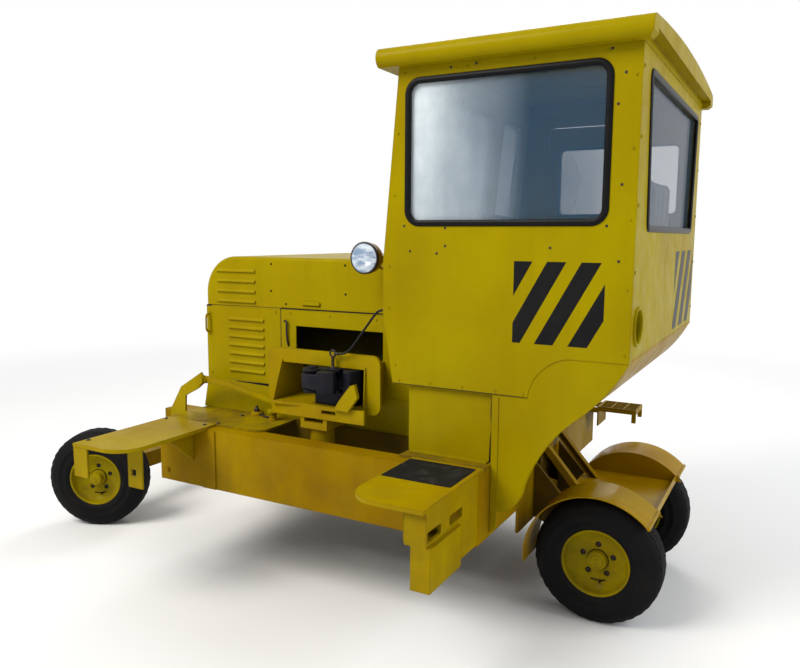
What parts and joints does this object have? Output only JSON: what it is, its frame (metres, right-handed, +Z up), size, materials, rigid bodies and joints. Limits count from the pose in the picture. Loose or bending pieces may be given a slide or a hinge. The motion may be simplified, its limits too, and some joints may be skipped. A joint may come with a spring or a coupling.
{
  "type": "road-rail shunting vehicle",
  "caption": "Low coupler frame on steerable road wheels and crosswise rail wheels, with an engine hood and a tall glazed cab.",
  "frame": {"origin": "middle of the whole vehicle's plan, on the ground under the wheels", "axes": "+X along the road towards the cab, +Y along the rails, +Z up"},
  "size_m": [3.3034, 2.696, 2.3558],
  "materials": {
    "beam_near": "gloss yellow paint",
    "beam_far": "gloss yellow paint",
    "frame_ends": "gloss yellow paint",
    "axle_pivot": "dark bare metal",
    "cross_webs": "gloss yellow paint",
    "inner_rails": "gloss yellow paint",
    "rail_axle_boxes": "dark bare metal",
    "rail_axle_near": "dark bare metal",
    "rail_axle_far": "dark bare metal",
    "steps_near": "gloss yellow paint",
    "steps_far": "gloss yellow paint",
    "deck_plates": "gloss yellow paint",
    "drive_axle": "dark bare metal",
    "fenders": "gloss yellow paint",
    "fender_braces": "gloss yellow paint",
    "steering_axle": "dark bare metal",
    "knuckle_near": "dark bare metal",
    "knuckle_far": "dark bare metal",
    "tyre_cab_near": "worn rubber",
    "tyre_cab_far": "worn rubber",
    "rim_cab_near": "gloss yellow paint",
    "rim_cab_far": "gloss yellow paint",
    "tyre_hood_near": "worn rubber",
    "tyre_hood_far": "worn rubber",
    "rim_hood_near": "gloss yellow paint",
    "rim_hood_far": "gloss yellow paint",
    "hood_cover": "gloss yellow paint",
    "hood_side_panels": "gloss yellow paint",
    "hood_end_panel": "gloss yellow paint",
    "bay_frames": "gloss yellow paint",
    "hood_skirt": "gloss yellow paint",
    "engine_block": "dark bare metal",
    "coupler_housings": "gloss yellow paint",
    "coupler_heads": "dark bare metal",
    "coupler_knuckle_near": "dark bare metal",
    "coupler_knuckle_far": "dark bare metal",
    "coupler_jacks": "gloss yellow paint",
    "cab_near_side": "gloss yellow paint",
    "cab_far_side": "gloss yellow paint",
    "cab_door": "gloss yellow paint",
    "cab_end_wall": "gloss yellow paint",
    "cab_front_wall": "gloss yellow paint",
    "cab_roof": "gloss yellow paint",
    "cab_floor": "gloss yellow paint",
    "cab_lower_panels": "gloss yellow paint",
    "cab_arch_panel": "gloss yellow paint",
    "cab_glass": "clear",
    "door_glass": "clear",
    "seat": "matte black",
    "seat_base": "gloss yellow paint",
    "control_stand": "gloss yellow paint",
    "steering_wheel": "matte black",
    "headlamp": "gloss yellow paint",
    "far_step": "gloss yellow paint",
    "lever_stand": "gloss yellow paint",
    "uncoupling_cable": "black rubber"
  },
  "bodies": {
    "root": {"beam_near": "beam_near", "beam_far": "beam_far", "frame_ends": "frame_ends", "axle_pivot": "axle_pivot", "cross_webs": "cross_webs", "inner_rails": "inner_rails", "rail_axle_boxes": "rail_axle_boxes", "steps_near": "steps_near", "steps_far": "steps_far", "deck_plates": "deck_plates", "drive_axle": "drive_axle", "fenders": "fenders", "fender_braces": "fender_braces", "steering_axle": "steering_axle", "hood_cover": "hood_cover", "hood_side_panels": "hood_side_panels", "hood_end_panel": "hood_end_panel", "bay_frames": "bay_frames", "hood_skirt": "hood_skirt", "engine_block": "engine_block", "coupler_housings": "coupler_housings", "coupler_heads": "coupler_heads", "coupler_jacks": "coupler_jacks", "cab_near_side": "cab_near_side", "cab_far_side": "cab_far_side", "cab_end_wall": "cab_end_wall", "cab_front_wall": "cab_front_wall", "cab_roof": "cab_roof", "cab_floor": "cab_floor", "cab_lower_panels": "cab_lower_panels", "cab_arch_panel": "cab_arch_panel", "cab_glass": "cab_glass", "seat": "seat", "seat_base": "seat_base", "control_stand": "control_stand", "headlamp": "headlamp", "far_step": "far_step", "lever_stand": "lever_stand", "uncoupling_cable": "uncoupling_cable"},
    "wheel_cab_near": {"tyre_cab_near": "tyre_cab_near", "rim_cab_near": "rim_cab_near"},
    "wheel_cab_far": {"tyre_cab_far": "tyre_cab_far", "rim_cab_far": "rim_cab_far"},
    "wheel_hood_near": {"tyre_hood_near": "tyre_hood_near", "rim_hood_near": "rim_hood_near"},
    "wheel_hood_far": {"tyre_hood_far": "tyre_hood_far", "rim_hood_far": "rim_hood_far"},
    "steer_knuckle_near": {"knuckle_near": "knuckle_near"},
    "steer_knuckle_far": {"knuckle_far": "knuckle_far"},
    "rail_wheels_near": {"rail_axle_near": "rail_axle_near"},
    "rail_wheels_far": {"rail_axle_far": "rail_axle_far"},
    "jaw_near": {"coupler_knuckle_near": "coupler_knuckle_near"},
    "jaw_far": {"coupler_knuckle_far": "coupler_knuckle_far"},
    "door_leaf": {"cab_door": "cab_door", "door_glass": "door_glass"},
    "hand_wheel": {"steering_wheel": "steering_wheel"}
  },
  "joints": [
    {"name": "roll_cab_near", "type": "hinge", "parent": "root", "child": "wheel_cab_near", "pos_m": [1.38667, -0.35, 0.265], "axis": [0, 1, 0], "continuous": true},
    {"name": "roll_cab_far", "type": "hinge", "parent": "root", "child": "wheel_cab_far", "pos_m": [1.38667, 0.35, 0.265], "axis": [0, 1, 0], "continuous": true},
    {"name": "steer_near", "type": "hinge", "parent": "root", "child": "steer_knuckle_near", "pos_m": [-1.35133, -0.566, 0.265], "axis": [0, 0, 1], "range_deg": [-61, 9]},
    {"name": "steer_far", "type": "hinge", "parent": "root", "child": "steer_knuckle_far", "pos_m": [-1.35133, 0.566, 0.265], "axis": [0, 0, 1], "range_deg": [-61, 9]},
    {"name": "roll_hood_near", "type": "hinge", "parent": "steer_knuckle_near", "child": "wheel_hood_near", "pos_m": [-1.30749, -0.65588, 0.265], "axis": [-0.4384, 0.8988, 0], "continuous": true},
    {"name": "roll_hood_far", "type": "hinge", "parent": "steer_knuckle_far", "child": "wheel_hood_far", "pos_m": [-1.39517, 0.65588, 0.265], "axis": [-0.4384, 0.8988, 0], "continuous": true},
    {"name": "rail_roll_near", "type": "hinge", "parent": "root", "child": "rail_wheels_near", "pos_m": [0.21567, -0.42, 0.572], "axis": [1, 0, 0], "continuous": true},
    {"name": "rail_roll_far", "type": "hinge", "parent": "root", "child": "rail_wheels_far", "pos_m": [0.21567, 0.42, 0.572], "axis": [1, 0, 0], "continuous": true},
    {"name": "knuckle_swing_near", "type": "hinge", "parent": "root", "child": "jaw_near", "pos_m": [0.21067, -0.752, 0.977], "axis": [0, 0, -1], "range_deg": [0, 50]},
    {"name": "knuckle_swing_far", "type": "hinge", "parent": "root", "child": "jaw_far", "pos_m": [0.22067, 0.752, 0.977], "axis": [0, 0, -1], "range_deg": [0, 50]},
    {"name": "door_swing", "type": "hinge", "parent": "root", "child": "door_leaf", "pos_m": [1.22867, 0.755, 1.6], "axis": [0, 0, -1], "range_deg": [0, 95]},
    {"name": "steering_wheel_turn", "type": "hinge", "parent": "root", "child": "hand_wheel", "pos_m": [0.91523, -0.06, 1.64854], "axis": [0.2588, 0, 0.9659], "range_deg": [-916, 136]}
  ],
  "couplings": [
    {"joint": "steer_far", "follows": "steer_near", "ratio": 1},
    {"joint": "steering_wheel_turn", "follows": "steer_near", "ratio": 15}
  ]
}
